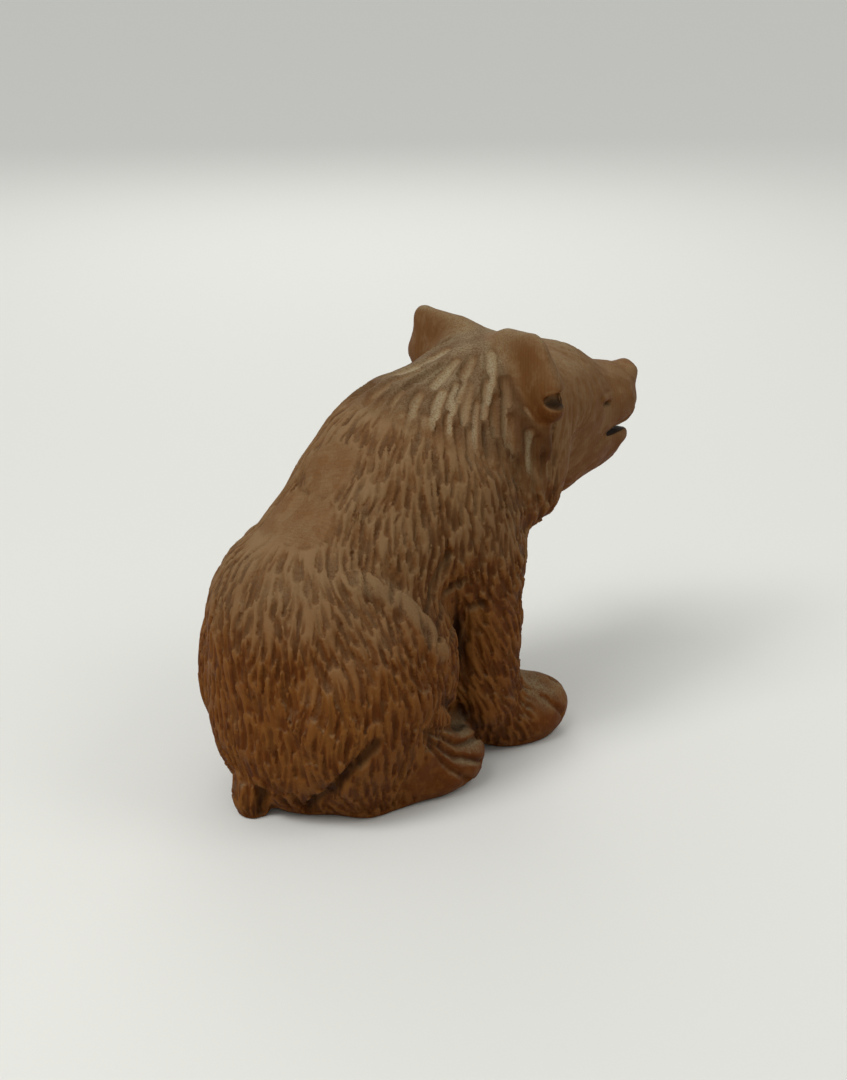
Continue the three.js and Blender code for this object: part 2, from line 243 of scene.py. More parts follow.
# %% Head
HEAD_AT = np.array((-4, 280, 312), np.float32)
HEAD_AXES = turned(8, 0, 4)
EAR_AT = (0, 15, 14)
EAR_LEAN = 9
EAR_SWEEP = 7
EAR_THINNESS = 0.47
EAR_BLEND = 4


def on_head(*point):
    return HEAD_AXES @ np.array(point, np.float32) + HEAD_AT


def head(p, d):
    d = join(d, post(p, (0, 215, 280), (-4, 262, 304), 82, 75), SOFT_BLEND)  # neck
    d = join(d, egg(p, on_head(0, 10, 0), (82, 72, 65), HEAD_AXES), SOFT_BLEND)  # skull
    for side in SIDES:
        d = join(d, egg(p, on_head(side * 48, 4, -47), (38, 40, 54), HEAD_AXES), LIMB_BLEND)  # ruff
    d = join(d, egg(p, on_head(0, 60, 12), (60, 58, 46), HEAD_AXES), LIMB_BLEND)  # brow
    d = join(d, post(p, on_head(0, 84, -10), on_head(0, 136, -8), 47, 34), FACE_BLEND)  # muzzle
    d = join(d, post(p, on_head(0, 64, -48), on_head(0, 132, -50), 42, 22), LIMB_BLEND)  # jaw
    d = join(d, egg(p, on_head(0, 162, 11), (18, 13, 13), HEAD_AXES), CREASE_BLEND)  # nose
    return join(d, egg(p, on_head(0, 140, -46), (22, 18, 9), HEAD_AXES), CREASE_BLEND)  # lower lip


def ear_fin(p, side):
    """Places in the ear's own axes, and how far each is outside the ear's fin."""
    q = (p - on_head(*EAR_AT)) @ (HEAD_AXES @ turned(-side * EAR_SWEEP, EAR_LEAN))
    flat = q / np.array((1, EAR_THINNESS, 1), np.float32)
    tip = mirrored((86.5, 0, 57), side)
    fin = post(flat, mirrored((50, 0, 20), side), tip, 38, 16)
    fin = join(fin, post(flat, mirrored((86.5, 0, 23.5), side), tip, 30, 16), EAR_BLEND)
    fin = join(fin, post(flat, mirrored((41, 0, 41.5), side), tip, 30, 16), EAR_BLEND)
    return q, fin * EAR_THINNESS


def ear(p, d, side):
    """The fin is added to d; its bowl and the pit below it are cut out afterwards."""
    q, fin = ear_fin(p, side)
    d = join(d, fin, FACE_BLEND)
    bowl = egg(q, mirrored((80, 15, 32), side), (18, 11, 26), turned(0, 0, side * 20))
    pit = egg(q, mirrored((110, 3, 18), side), (13, 15, 8))
    return cut_away(cut_away(d, bowl, EDGE_BLEND), pit, EDGE_BLEND)


# %% [markdown]
# ## Openings
# Only the mouth, the nostrils and the hollows of the ears go deep enough to be
# cut here, as shapes taken out of the wood. Everything shallower is a mark on
# the finished skin, further down.

# %% Openings
def face_openings(p, d):
    slit, gape = HEAD_AXES @ turned(0, 4), HEAD_AXES @ turned(0, 15)
    d = cut_away(d, egg(p, on_head(0, 150, -34), (46, 48, 4), slit), EDGE_BLEND)
    d = cut_away(d, egg(p, on_head(0, 170, -30), (50, 26, 9), gape), EDGE_BLEND)
    for side in SIDES:
        d = cut_away(d, egg(p, on_head(side * 9, 174, 8), (4, 6, 3.2), HEAD_AXES), EDGE_BLEND)
    return d


def tail(p, d):
    return join(d, egg(p, (0, 4, 20), (20, 18, 28)), CREASE_BLEND)


def bear(p):
    d = torso(p)
    for side in SIDES:
        d = legs(p, d, side)
    d = head(p, tail(p, d))
    for side in SIDES:
        d = ear(p, d, side)
    d = face_openings(p, d)
    return cut_away(d, p[:, 2], EDGE_BLEND)


print("carving is", round(-float(bear(np.array([(0, 80, 100)], np.float32))[0])), "mm deep at its heart")

# %% [markdown]
# ## From distance to mesh
# The surface is where the distance is zero. It is found on a grid of small
# cubes: a coarse pass finds which cubes are near it, only those are measured
# finely, and every cube the surface crosses gets one vertex. The squares
# between neighbouring cubes make an even skin, dense enough to hold a cut.

# %% Skin
CELL = 1.35
COARSE = 5
REACH_LOW = np.array((-130, -40, -8), np.float32)
REACH_HIGH = np.array((130, 472, 424), np.float32)


def sample(shape, points, chunk=300000):
    return np.concatenate([shape(points[i:i + chunk]) for i in range(0, len(points), chunk)])


def measure(shape):
    """Distance on the fine grid: true close to the surface, only its sign elsewhere."""
    coarse_cell = CELL * COARSE
    count = np.ceil((REACH_HIGH - REACH_LOW) / coarse_cell).astype(int) + 1
    steps = [REACH_LOW[i] + coarse_cell * np.arange(count[i], dtype=np.float32) for i in range(3)]
    grid = np.stack(np.meshgrid(*steps, indexing="ij"), -1).reshape(-1, 3)
    coarse = sample(shape, grid).reshape(count)
    pick = np.ix_(*[np.round(np.arange((n - 1) * COARSE + 1) / COARSE).astype(int) for n in count])
    distance = coarse[pick].copy()
    near = np.argwhere(np.abs(distance) < coarse_cell * 1.4)
    distance[tuple(near.T)] = sample(shape, REACH_LOW + near.astype(np.float32) * np.float32(CELL))
    return distance


def skin(distance):
    """One vertex in each cube the surface crosses, one square for each grid edge it crosses."""
    inside = distance < 0
    size = np.array(distance.shape)
    corners = [(i, j, k) for i in (0, 1) for j in (0, 1) for k in (0, 1)]
    filled = sum(inside[i:size[0] - 1 + i, j:size[1] - 1 + j, k:size[2] - 1 + k].astype(np.int8)
                 for i, j, k in corners)
    cells = np.argwhere((filled > 0) & (filled < 8))
    number = np.full(filled.shape, -1, np.int64)
    number[tuple(cells.T)] = np.arange(len(cells))
    total = np.zeros((len(cells), 3))
    crossings = np.zeros(len(cells))
    for corner in corners:
        for axis in range(3):
            if corner[axis]:
                continue
            far = list(corner)
            far[axis] = 1
            a = distance[tuple((cells + corner).T)]
            b = distance[tuple((cells + far).T)]
            crossed = (a < 0) != (b < 0)
            t = np.where(crossed, a / np.where(crossed, a - b, 1), 0)
            place = np.tile(np.array(corner, float), (len(cells), 1))
            place[:, axis] += t
            total += place * crossed[:, None]
            crossings += crossed
    points = REACH_LOW + (cells + total / crossings[:, None]) * CELL
    squares = []
    for axis in range(3):
        u, w = (axis + 1) % 3, (axis + 2) % 3
        here = inside.take(range(size[axis] - 1), axis)
        there = inside.take(range(1, size[axis]), axis)
        edges = np.argwhere(here != there)
        solid = here[tuple(edges.T)]

        def cell(du, dw):
            e = edges.copy()
            e[:, u] += du
            e[:, w] += dw
            return number[tuple(e.T)]

        ring = np.stack([cell(-1, -1), cell(0, -1), cell(0, 0), cell(-1, 0)], 1)
        ring[~solid] = ring[~solid][:, ::-1]
        squares.append(ring)
    return points, np.concatenate(squares)


def slope(points, step=0.4):
    """Unit direction in which the distance grows: straight out of the wood."""
    p = points.astype(np.float32)
    parts = []
    for axis in range(3):
        offset = np.zeros(3, np.float32)
        offset[axis] = step
        parts.append(sample(bear, p + offset) - sample(bear, p - offset))
    g = np.stack(parts, 1)
    return g / np.maximum(np.linalg.norm(g, axis=1, keepdims=True), 1e-6)


points, squares = skin(measure(bear))
outward = slope(points)
print("skin:", len(points), "points,", len(squares), "squares")

# %% [markdown]
# ## Marks on the skin
# A mark follows a short path over the skin: a groove sinks it, a negative
# depth raises it, and a step lowers only the side it looks towards, which is
# how one form is set back behind another. Paths are given by a few places and
# then laid on the nearest wood, so they hug the surface whatever its shape.

# %% Marks
HEAD, BODY = True, False
STEP_SOFTNESS = 10.0
MARK_MARGIN = 12
NARROW = 12  # marks narrower than this get painted shade
MIDLINE = 8  # marks that start this near the middle are cut once
MARKS = (
    # path, half width, depth, the side a step lowers, on the head or the body
    (((47, 103, -3), (43, 114, -3)), 3.2, 4.8, None, HEAD),  # slit of the eye
    (((48, 100, 4), (43, 115, 4)), 4.6, -2.2, None, HEAD),  # lid above it
    (((38, 112, 12), (52, 98, 12), (58, 86, 6)), 4.0, -1.0, None, HEAD),  # brow over the eye
    (((102, 10, 22), (100, 8, 4), (87, 13, -20), (86, 10, -46), (80, 4, -66), (62, -2, -88)),
     26, 6.0, (-0.3, 1.0, 0.0), HEAD),  # front edge of the ruff
    (((94, 8, -26), (90, 4, -60)), 3.4, 2.0, None, HEAD),  # tufts of the ruff
    (((97, -10, -6), (93, -12, -66)), 3.4, 2.2, None, HEAD),
    (((26, 150, -26), (38, 112, -36), (36, 100, -42)), 3.0, 2.0, None, HEAD),  # corner of the mouth
    (((0, 176, -2), (0, 174, -24)), 2.4, 1.6, None, HEAD),  # below the nose
    (((8, 160, 24), (20, 152, 14), (22, 150, 0)), 5.0, 1.4, None, HEAD),  # wing of the nose
    (((66, 64, 234), (74, 70, 231)), 26, 2.0, (0.1, 0.8, 0.6), BODY),  # flank set in above the thigh
    (((82, 84, 225), (93, 108, 207), (101, 124, 184), (104, 141, 157), (105, 150, 130), (105, 148, 104)),
     28, 4.4, (0.1, 0.8, 0.6), BODY),  # and ahead of it
    (((72, 66, 227), (82, 84, 219), (93, 104, 202), (101, 118, 179), (104, 132, 154)),
     14, -3.0, None, BODY),  # raised edge of the thigh
    (((90, 155, 231), (96, 128, 188)), 6.5, 4.2, None, BODY),  # flat cuts behind the arm
    (((89, 177, 201), (104, 129, 166)), 6.5, 4.2, None, BODY),
    (((89, 197, 173), (99, 151, 151)), 6.0, 3.8, None, BODY),
    (((92, 190, 140), (100, 156, 112)), 5.5, 3.2, None, BODY),
    (((100, 142, 100), (86, 172, 70), (70, 190, 60)), 9, 5.0, None, BODY),  # recess over the foot
    (((111, 108, 86), (96, 160, 66), (70, 196, 56)), 4.5, 3.6, None, BODY),  # toes of the hind foot
    (((111, 112, 82), (106, 160, 56), (84, 204, 40)), 4.5, 4.2, None, BODY),
    (((110, 114, 76), (106, 150, 44), (98, 190, 22)), 4.5, 4.2, None, BODY),
    (((110, 116, 70), (108, 140, 38), (106, 168, 12)), 4.0, 3.4, None, BODY),
    (((111, 106, 84), (108, 98, 50), (104, 92, 8)), 16, 3.5, (0.0, 1.0, 0.1), BODY),  # foot set in
    (((84, 286, 50), (88, 300, 34), (86, 314, 20)), 4.0, 2.8, None, BODY),  # toes of the front paw
    (((66, 312, 54), (70, 330, 30), (70, 334, 8)), 4.0, 3.0, None, BODY),
    (((50, 314, 56), (48, 334, 32), (47, 338, 8)), 4.0, 3.0, None, BODY),
    (((34, 306, 54), (28, 324, 30), (26, 326, 8)), 4.0, 3.0, None, BODY),
    (((48, 240, 88), (90, 244, 74), (86, 262, 58)), 10, 2.0, None, BODY),  # wrist
    (((110, 56, 92), (96, 32, 62), (64, 22, 18), (56, 20, 0)), 8, 5.5, None, BODY),  # wedge cut at the rump
    (((22, -4, 34), (26, -2, 0)), 7, 6.0, None, BODY),  # sides of the tail
    (((40, 2, 28), (42, 2, 0)), 4.0, 3.6, None, BODY),  # tufts at the rump
    (((52, 8, 34), (54, 10, 0)), 4.0, 3.6, None, BODY),
    (((0, 140, 330), (-6, 110, 308), (4, 80, 276)), 34, 1.6, None, BODY),  # slack of the back
)


def laid_on_skin(path, gap=6.0):
    """The path in short steps, each moved to the nearest point of the skin."""
    path = np.array(path, float)
    steps = [path[:1]]
    for a, b in zip(path[:-1], path[1:]):
        count = max(1, round(float(np.linalg.norm(b - a)) / gap))
        steps.append(a + (b - a) * (np.arange(1, count + 1) / count)[:, None])
    return np.array([points[((points - place) ** 2).sum(1).argmin()] for place in np.concatenate(steps)])


def path_distance(p, path):
    """Distance to the path and the way from its nearest place, for every point."""
    ends = path[1:] if len(path) > 1 else path
    best = np.full(len(p), 1e9)
    away = np.zeros_like(p)
    for a, b in zip(path, ends):
        along = b - a
        t = np.clip(((p - a) @ along) / max(float(along @ along), 1e-9), 0, 1)
        offset = p - (a + t[:, None] * along)
        d = np.sqrt((offset * offset).sum(1))
        closer = d < best
        best[closer] = d[closer]
        away[closer] = offset[closer]
    return best, away


def mark_depth(path, half_width, depth, lowers):
    reach = np.ptp(path, 0) / 2 + half_width + MARK_MARGIN
    near = np.flatnonzero((np.abs(points - path.mean(0)) < reach).all(1))
    distance, away = path_distance(points[near], path)
    fade = np.clip(1 - (distance / half_width) ** 2, 0, 1)
    if lowers is not None:
        fade = np.clip(1 - distance / half_width, 0, 1) * np.clip(0.5 + (away @ lowers) / STEP_SOFTNESS, 0, 1)
    return near, fade * depth


sunk = np.zeros(len(points))
mark_shade = np.zeros(len(points))
raised = np.zeros(len(points))
for path, half_width, depth, lowers, where in MARKS:
    for side in SIDES:
        spots = [mirrored(place, side) for place in path]
        toward = None if lowers is None else mirrored(lowers, side)
        if where is HEAD:
            spots = [on_head(*spot) for spot in spots]
            toward = None if lowers is None else HEAD_AXES @ toward
        near, amount = mark_depth(laid_on_skin(spots), half_width, depth, toward)
        if abs(path[0][0]) > MIDLINE or side > 0:
            sunk[near] = np.where(np.abs(amount) > np.abs(sunk[near]), amount, sunk[near])
            # the depth of narrow marks is kept to paint shade into them
            if half_width < NARROW:
                mark_shade[near] = np.maximum(mark_shade[near], amount)
            if where is BODY:
                raised[near] = np.maximum(raised[near], -amount)
print("deepest mark:", round(float(sunk.max()), 1), "mm")

# %% [markdown]
# ## Uneven by hand
# Nothing cut by hand is a true egg. Slow waves of about a millimetre, three to
# six centimetres long, break up the even round of the masses.

# %% Hand work
SWELL = 0.5
SETTLE_HEIGHT = 14
CALM_REACH = 70
# each wave: its way, length and size
WAVES = (((0.9, 0.3, 0.2), 62, 1.0), ((-0.3, 0.8, 0.5), 47, 0.9), ((0.2, -0.5, 0.9), 55, 1.0),
         ((0.7, 0.6, -0.4), 34, 0.5), ((-0.6, 0.2, 0.8), 29, 0.45))
swell = sum(size * np.sin(points @ np.array(way) * 2 * math.pi / length + 7 * i)
            for i, (way, length, size) in enumerate(WAVES))
settled = np.clip(points[:, 2] / SETTLE_HEIGHT, 0, 1)
calm = np.clip(np.linalg.norm(points - on_head(0, 120, -10), axis=1) / CALM_REACH, 0, 1)
skin_points = points - outward * (sunk + SWELL * swell * calm * settled)[:, None] * settled[:, None] ** 0.25
print("waves move the skin by up to", round(float(np.abs(SWELL * swell).max()), 1), "mm")

# %% [markdown]
# ## Which way the fur lies
# Every gouge cut follows the fur. A handful of guides say which way it lies at
# chosen places; each point of the skin takes the average of the guides near
# it, pressed flat onto the surface. The same function says which cuts go there:
# broad ones round the crown and down the nape, fine ones on the body, and none
# on the ears. The muzzle and the paws were left smooth, so they get flat cuts.

# %% Guides
GUIDES = (
    # place (side, ahead, up), way the fur lies, reach
    ((80, 268, 262), (0.0, 0.1, -1.0), 30),  # ruff
    ((84, 190, 270), (0.2, 0.15, -1.0), 46),  # neck
    ((60, 150, 318), (0.6, -0.5, -0.9), 44),  # behind the neck
    ((86, 205, 230), (0.0, 0.25, -1.0), 50),  # shoulder
    ((84, 222, 150), (0.0, 0.35, -1.0), 45),  # upper foreleg
    ((80, 232, 90), (0.0, 0.60, -1.0), 40),  # lower foreleg
    ((0, 105, 300), (0.0, -0.7, -1.0), 55),  # back
    ((60, 100, 265), (0.3, -0.55, -1.0), 45),  # flank, high
    ((84, 140, 215), (0.2, -0.15, -1.0), 40),  # flank, low
    ((96, 60, 205), (0.5, 0.20, -1.0), 35),  # hip
    ((90, 96, 205), (0.7, -0.35, -0.8), 20),  # fringe of the thigh
    ((103, 126, 160), (0.5, -0.30, -0.9), 18),
    ((108, 90, 140), (0.0, 0.25, -1.0), 42),  # thigh
    ((106, 140, 110), (0.0, 0.05, -1.0), 30),  # front of the thigh
    ((100, 60, 60), (0.0, 0.15, -1.0), 45),  # low thigh
    ((40, -14, 160), (0.0, 0.0, -1.0), 60),  # rump
    ((30, -14, 70), (0.0, 0.05, -1.0), 50),  # low rump
    ((30, 262, 150), (0.0, 0.1, -1.0), 60),  # chest
    ((20, 190, 20), (0.0, 0.1, -1.0), 40),  # belly
    ((60, 330, 290), (0.3, -1.0, -0.7), 34),  # cheek
    ((0, 345, 365), (0.2, -1.0, 0.1), 30),  # forehead
    ((30, 330, 240), (0.1, -0.8, -0.6), 34),  # throat
)
CROWN = on_head(0, 6, 74)
CROWN_REACH = 105
CROWN_PULL = 3
EAR_CLEAR = 5.0
BROAD_REACH = 158
BROAD_FADE = 26
FACE_LINE = 16  # ahead of this, on the head's own axis, the fur is fine
FACE_THINNED = 0.65
WORN = 0.22  # how much thinner the fur is in the worn patches
WORN_WAVES = np.array(((0.07, 0.03, 0.05), (-0.04, 0.08, -0.03)))
SMOOTH = (
    # place, reach, on the head or body
    ((0, 150, 0), 48, HEAD),  # muzzle
    ((30, 125, -30), 36, HEAD),  # lips and chin
    ((46, 102, 2), 20, HEAD),  # eye
    ((56, 300, 30), 44, BODY),  # paw
    ((92, 172, 30), 40, BODY),  # hind foot
    ((104, 128, 32), 26, BODY),  # side of the foot
    ((0, 96, 300), 26, BODY),  # slack of the back
    ((14, 62, 262), 26, BODY),
)


def fur(p, out):
    """Direction of the fur and the weight of broad and of fine cuts at each point."""
    way = np.zeros_like(p)
    for place, lie, reach in GUIDES:
        for side in SIDES:
            w = np.exp(-((p - mirrored(place, side)) ** 2).sum(1) / reach ** 2)
            way += w[:, None] * mirrored(lie, side)
    from_crown = p - CROWN
    distance = np.linalg.norm(from_crown, axis=1)
    way += CROWN_PULL * np.exp(-(distance / CROWN_REACH) ** 4)[:, None] * from_crown / distance[:, None]
    way -= out * (way * out).sum(1, keepdims=True)
    way /= np.maximum(np.linalg.norm(way, axis=1, keepdims=True), 1e-6)
    smooth = np.zeros(len(p))
    for place, reach, where in SMOOTH:
        for side in SIDES:
            centre = on_head(place[0] * side, *place[1:]) if where is HEAD else mirrored(place, side)
            reached = np.linalg.norm(p - centre, axis=1)
            smooth = np.maximum(smooth, np.clip((reach * 1.15 - reached) / (reach * 0.3), 0, 1))
    underneath = np.clip((6 - p[:, 2]) / 4, 0, 1) * (out[:, 2] < -0.5)
    keep = (1 - smooth) * (1 - underneath)
    for side in SIDES:
        keep *= np.clip(ear_fin(p.astype(np.float32), side)[1] / EAR_CLEAR - 0.5, 0, 1)
    face_side = ((p - HEAD_AT) @ HEAD_AXES)[:, 1]
    behind = np.clip((FACE_LINE - face_side) / 8, 0, 1)
    broad = behind * np.clip((BROAD_REACH - distance) / BROAD_FADE, 0, 1) * keep
    face = np.clip((face_side - FACE_LINE) / 10, 0, 1) * np.clip((p[:, 2] - 215) / 20, 0, 1)
    ears = np.clip((face_side + 60) / 20, 0, 1) * np.clip((40 - face_side) / 20, 0, 1) * (p[:, 2] > 290)
    worn = 1 - WORN + WORN * np.sin(p @ WORN_WAVES[0]) * np.sin(p @ WORN_WAVES[1] + 1)
    fine = np.clip(1 - 1.2 * broad, 0, 1) * keep * (1 - FACE_THINNED * face) * worn
    return way, broad, fine, smooth * (1 - underneath) * (1 - ears)


lie, broad, fine, smooth = fur(points, outward)
print("broad cuts on", round(float((broad > 0.4).mean()) * 100), "% of the skin")

# %% [markdown]
# ## Where each cut starts
# A carver sets the gouge down beside the last cut, or just past its end, and
# never on top of it. Start points are therefore tried at random, and one is
# kept only if no earlier one lies within a narrow oval along the fur: about a
# cut's width to either side, and most of its length ahead and behind. The cuts
# come out staggered, like roof shingles.

# %% Starts
def starts(weight, length, width, tries, seed):
    """For every point, 1 where a cut starts and 0 elsewhere."""
    draw = np.random.default_rng(seed)
    tried = draw.choice(len(points), tries, replace=False, p=weight / weight.sum())
    kept = np.empty((tries, 3))
    chosen = []
    for one in tried:
        gap = kept[:len(chosen)] - points[one]
        along = gap @ lie[one]
        beside = (gap * gap).sum(1) - along * along
        if not ((along / length) ** 2 + beside / width ** 2 < 1).any():
            kept[len(chosen)] = points[one]
            chosen.append(one)
    flags = np.zeros(len(points))
    flags[chosen] = 1
    return flags


STARTS = (
    # kind of cut, where it goes, clear length and width, tries, seed
    ("flat", smooth, 24, 13, 4000, 2),
    ("fine", fine, 24, 5.2, 60000, 4),
    ("hair", fine, 17, 6.5, 40000, 6),
    ("broad", broad, 36, 8.6, 12000, 9),
)
begun = {kind: starts(*numbers) for kind, *numbers in STARTS}
print("cuts:", {kind: int(flags.sum()) for kind, flags in begun.items()})

# %% [markdown]
# ## Into Blender
# The shape leaves the carver's millimetres here: side becomes +X, ahead
# becomes -Y, and the middle of its foot goes to the middle of the CAD solid's.
# The fur's direction and the weights travel along as mesh attributes, where
# Geometry Nodes and materials can both read them.

# %% Mesh with attributes
def to_row(vectors):
    return vectors * np.array((1, -1, 1))


row_points = to_row(skin_points) * MM
middle = (row_points.min(0) + row_points.max(0)) / 2
cad_middle = (np.array(low) + np.array(high)) / 2
shift = np.array((cad_middle[0] - middle[0], cad_middle[1] - middle[1], low[2] - row_points[:, 2].min()))
row_points = row_points + shift


def set_attribute(mesh, name, kind, values):
    attribute = mesh.attributes.new(name, kind, "POINT")
    field = "vector" if kind == "FLOAT_VECTOR" else "value"
    attribute.data.foreach_set(field, np.ascontiguousarray(values, np.float32).ravel())


mesh = bpy.data.meshes.new("carved_bear")
mesh.vertices.add(len(row_points))
mesh.vertices.foreach_set("co", np.ascontiguousarray(row_points, np.float32).ravel())
mesh.loops.add(len(squares) * 4)
mesh.loops.foreach_set("vertex_index", np.ascontiguousarray(squares[:, ::-1], np.int32).ravel())
mesh.polygons.add(len(squares))
mesh.polygons.foreach_set("loop_start", np.arange(0, len(squares) * 4, 4, dtype=np.int32))
mesh.update(calc_edges=True)
mesh.validate()
for name, vectors in (("fur_way", lie), ("out_way", outward)):
    set_attribute(mesh, name, "FLOAT_VECTOR", to_row(vectors))
for name, weight in (("broad", broad), ("fine", fine), ("smooth", smooth)):
    set_attribute(mesh, name, "FLOAT", weight)
for kind, flags in begun.items():
    set_attribute(mesh, kind + "_start", "FLOAT", flags)
carved = bpy.data.objects.new("carved_bear", mesh)
bpy.context.scene.collection.objects.link(carved)
print("shifted by", [round(v / MM, 1) for v in shift], "mm")

# %% [markdown]
# ## Gouge cuts that follow the fur
# One cut is a trough a few millimetres wide with a round bottom. It enters
# shallow, runs with the fur and stops in a round end. There are thousands, all
# made by the same motion of the hand, so this is a rule for Geometry Nodes:
# take the starts, grow a line from each in short steps along the fur, and sink
# every point of the wood that lies within half a cut's width of a line. Where
# two troughs meet, a ridge is left between them, and those ridges are what
# reads as hair. One slow noise bends all the lines of a run, so neighbours
# stay side by side in locks.

# %% Node helpers
def add(tree, kind, inputs=None, **settings):
    """One node with its settings, and its inputs joined to sockets or set to values."""
    made = tree.nodes.new(kind)
    for name, value in settings.items():
        setattr(made, name, value)
    for name, value in (inputs or {}).items():
        if isinstance(value, bpy.types.NodeSocket):
            tree.links.new(value, made.inputs[name])
        else:
            made.inputs[name].default_value = value
    return made


def calc(tree, operation, *values, clamp=False):
    return add(tree, "ShaderNodeMath", dict(enumerate(values)), operation=operation, use_clamp=clamp).outputs[0]


def times(tree, first, *others):
    for other in others:
        first = calc(tree, "MULTIPLY", first, other)
    return first


def vector_calc(tree, operation, *values):
    inputs = {"Scale" if operation == "SCALE" and i == 1 else i: v for i, v in enumerate(values)}
    out = "Value" if operation in ("DOT_PRODUCT", "LENGTH") else "Vector"
    return add(tree, "ShaderNodeVectorMath", inputs, operation=operation).outputs[out]


def ramp(tree, value, start, end, low_value=0.0, high_value=1.0):
    return add(tree, "ShaderNodeMapRange",
               {"Value": value, "From Min": start, "From Max": end, "To Min": low_value, "To Max": high_value},
               interpolation_type="SMOOTHSTEP").outputs["Result"]


def read(tree, name, kind="FLOAT"):
    return add(tree, "GeometryNodeInputNamedAttribute", {"Name": name}, data_type=kind).outputs["Attribute"]


def store(tree, geometry, name, kind, value, selection=True):
    inputs = {"Geometry": geometry, "Name": name, "Value": value, "Selection": selection}
    return add(tree, "GeometryNodeStoreNamedAttribute", inputs, data_type=kind, domain="POINT").outputs[0]


def chance(tree, low_value, high_value, number, seed):
    """A number between the two that stays the same for everything sharing one number."""
    inputs = {2: low_value, 3: high_value, "ID": number, "Seed": seed}
    return add(tree, "FunctionNodeRandomValue", inputs, data_type="FLOAT").outputs[1]


def knobs(tree):
    """The tree's own inputs, by name."""
    return {socket.name: socket for socket in tree.nodes.new("NodeGroupInput").outputs if socket.name}


# %% The tree of gouge cuts
STEPS = 12
LOCKS_PER_METRE = 22.0
DRIFT_SPREAD = 4.0  # the noise runs from 0 to 1, the drift from -2 to 2
DRIFT_PER_SEED = 3.7  # puts each run in its own part of the noise
LENGTH_RANGE = (0.6, 1.15)
WIDTH_RANGE = (0.72, 1.22)
DEPTH_RANGE = (0.55, 1.25)
FULL_WIDTH_AT = 0.6  # the share of its length at which a cut is at its widest
ENTRY_DEPTH = 0.25
MASK_GAIN = 1.6
TRACE = 0.02  # wood cut less than this counts as uncut


def grow_lines(tree, knob):
    """Lines that begin at the chosen starts and lie along the fur on the wood's surface."""
    wood = knob["Geometry"]
    begins = calc(tree, "GREATER_THAN", read(tree, knob["Starts"]), 0.5)
    picked = add(tree, "GeometryNodeMeshToPoints", {"Mesh": wood, "Selection": begins}, mode="VERTICES")
    start = add(tree, "GeometryNodePointsToVertices", {"Points": picked.outputs[0]}).outputs[0]
    start = store(tree, start, "cut_id", "INT", add(tree, "GeometryNodeInputIndex").outputs[0])
    start = store(tree, start, "tip", "BOOLEAN", True)
    start = store(tree, start, "travel", "FLOAT", 0.0)
    repeat_in = tree.nodes.new("GeometryNodeRepeatInput")
    repeat_out = tree.nodes.new("GeometryNodeRepeatOutput")
    repeat_in.pair_with_output(repeat_out)
    repeat_in.inputs["Iterations"].default_value = STEPS
    tree.links.new(start, repeat_in.inputs["Geometry"])
    here = add(tree, "GeometryNodeInputPosition").outputs[0]
    ident = read(tree, "cut_id", "INT")

    def on_wood(name):
        return add(tree, "GeometryNodeSampleNearestSurface",
                   {"Mesh": wood, "Value": read(tree, name, "FLOAT_VECTOR"), "Sample Position": here},
                   data_type="FLOAT_VECTOR").outputs["Value"]

    drift = add(tree, "ShaderNodeTexNoise",
                {"Vector": here, "W": times(tree, knob["Seed"], DRIFT_PER_SEED),
                 "Scale": LOCKS_PER_METRE, "Detail": 1.0}, noise_dimensions="4D").outputs["Fac"]
    drift = calc(tree, "SUBTRACT", times(tree, drift, DRIFT_SPREAD), DRIFT_SPREAD / 2)
    sway = times(tree, drift, knob["Sway"])
    way = add(tree, "ShaderNodeVectorRotate",
              {"Vector": on_wood("fur_way"), "Axis": on_wood("out_way"), "Angle": sway},
              rotation_type="AXIS_ANGLE").outputs[0]
    length = times(tree, knob["Length"], chance(tree, *LENGTH_RANGE, ident, 12))
    stride = calc(tree, "DIVIDE", length, STEPS)
    grown = add(tree, "GeometryNodeExtrudeMesh",
                {"Mesh": repeat_in.outputs["Geometry"], "Selection": read(tree, "tip", "BOOLEAN"),
                 "Offset": vector_calc(tree, "SCALE", way, stride)}, mode="VERTICES")
    top = grown.outputs["Top"]
    line = store(tree, grown.outputs["Mesh"], "tip", "BOOLEAN", top)
    line = store(tree, line, "travel", "FLOAT", calc(tree, "ADD", read(tree, "travel"), stride), top)
    pressed = add(tree, "GeometryNodeProximity", {0: wood, "Sample Position": here}, target_element="FACES")
    line = add(tree, "GeometryNodeSetPosition",
               {"Geometry": line, "Selection": top, "Position": pressed.outputs["Position"]}).outputs[0]
    tree.links.new(line, repeat_out.inputs["Geometry"])
    return repeat_out.outputs["Geometry"]


